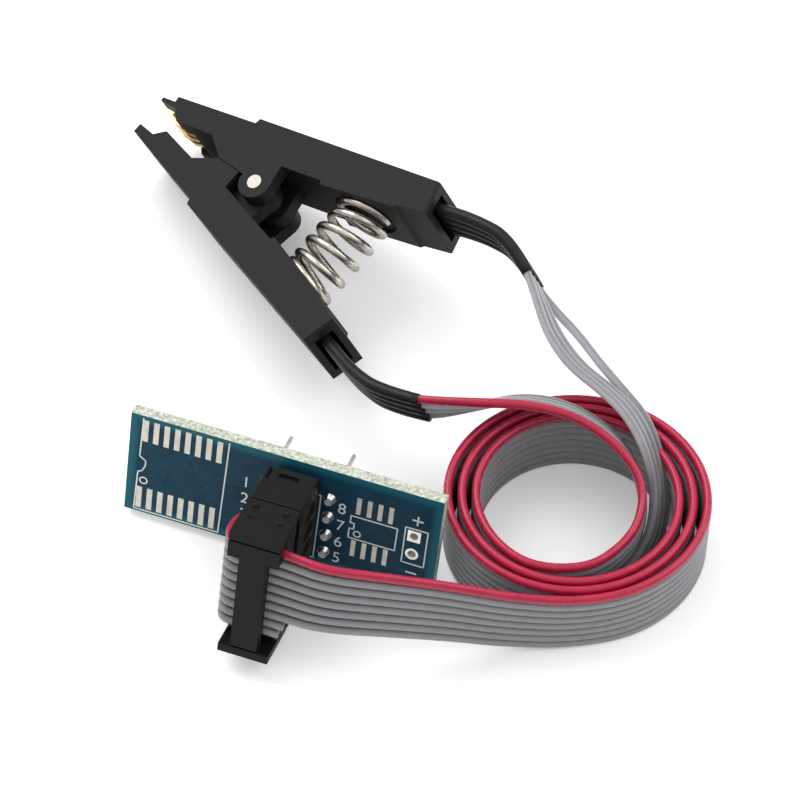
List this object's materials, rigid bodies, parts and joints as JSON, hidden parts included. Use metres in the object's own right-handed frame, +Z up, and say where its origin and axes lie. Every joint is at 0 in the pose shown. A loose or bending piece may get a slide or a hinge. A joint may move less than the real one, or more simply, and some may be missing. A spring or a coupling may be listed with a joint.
{
  "type": "ic test clip",
  "caption": "spring test clip that grips a small outline chip in circuit, with a coiled flat cable, a crimped socket and a pin adapter board that plugs into a programmer",
  "frame": {"origin": "on the table, at the bottom centre of the clip and adapter board together", "axes": "+Z up from the table, +X to the picture's right, +Y away from its camera"},
  "size_m": [0.0667, 0.076, 0.0205],
  "materials": {
    "clip_plastic": "moulded, fine satin grain",
    "pin_steel": "ground rod",
    "spring_steel": "bright plated wire",
    "gold_plate": "gold flash",
    "shrink_sleeve": "shrunk tube, slightly glossy",
    "wire_red": "satin vinyl",
    "wire_grey": "satin vinyl",
    "connector_plastic": "glass filled, matte",
    "board_mask": "solder mask on glass fibre",
    "solder_tin": "hot tinned",
    "pin_tin": "tinned"
  },
  "bodies": {
    "base": {"lower_arm": "clip_plastic", "pivot_pin": "pin_steel", "spring": "spring_steel", "lower_contact_1": "gold_plate", "lower_contact_2": "gold_plate", "lower_contact_3": "gold_plate", "lower_contact_4": "gold_plate", "lower_sleeve_1": "shrink_sleeve", "lower_sleeve_2": "shrink_sleeve", "lower_sleeve_3": "shrink_sleeve", "lower_sleeve_4": "shrink_sleeve", "lead_1": "wire_grey", "lead_2": "wire_grey", "lead_3": "wire_grey", "lead_4": "wire_grey", "lead_5": "wire_grey", "lead_6": "wire_grey", "lead_7": "wire_grey", "lead_8": "wire_red", "ribbon_coil": "wire_grey", "ribbon_run": "wire_grey", "adapter_board": "board_mask", "header_base": "connector_plastic", "header_pins": "gold_plate", "plug_in_pins": "pin_tin", "pin_solder": "solder_tin", "left_pin_strip": "connector_plastic", "right_pin_strip": "connector_plastic", "power_pads": "solder_tin"},
    "upper_half": {"upper_arm": "clip_plastic", "upper_contact_1": "gold_plate", "upper_contact_2": "gold_plate", "upper_contact_3": "gold_plate", "upper_contact_4": "gold_plate", "upper_sleeve_1": "shrink_sleeve", "upper_sleeve_2": "shrink_sleeve", "upper_sleeve_3": "shrink_sleeve", "upper_sleeve_4": "shrink_sleeve"},
    "plug": {"ribbon_fold": "wire_grey", "socket_body": "connector_plastic", "socket_contacts": "gold_plate", "socket_cover": "connector_plastic", "strain_relief": "connector_plastic"}
  },
  "joints": [
    {"name": "jaw_hinge", "type": "hinge", "parent": "base", "child": "upper_half", "pos_m": [-0.0034, 0.01775, 0.0087], "axis": [0.3349, 0.0982, -0.9371], "range_deg": [0, 20], "stiffness_Nm_per_rad": 0.12, "springref_deg": -17.19, "deforming": ["spring", "lead_1", "lead_2", "lead_3", "lead_4"]},
    {"name": "plug_pull", "type": "slide", "parent": "base", "child": "plug", "axis": [-0.3086, -0.8913, 0.3322], "range_m": [0, 0.006], "deforming": ["ribbon_run"]}
  ]
}
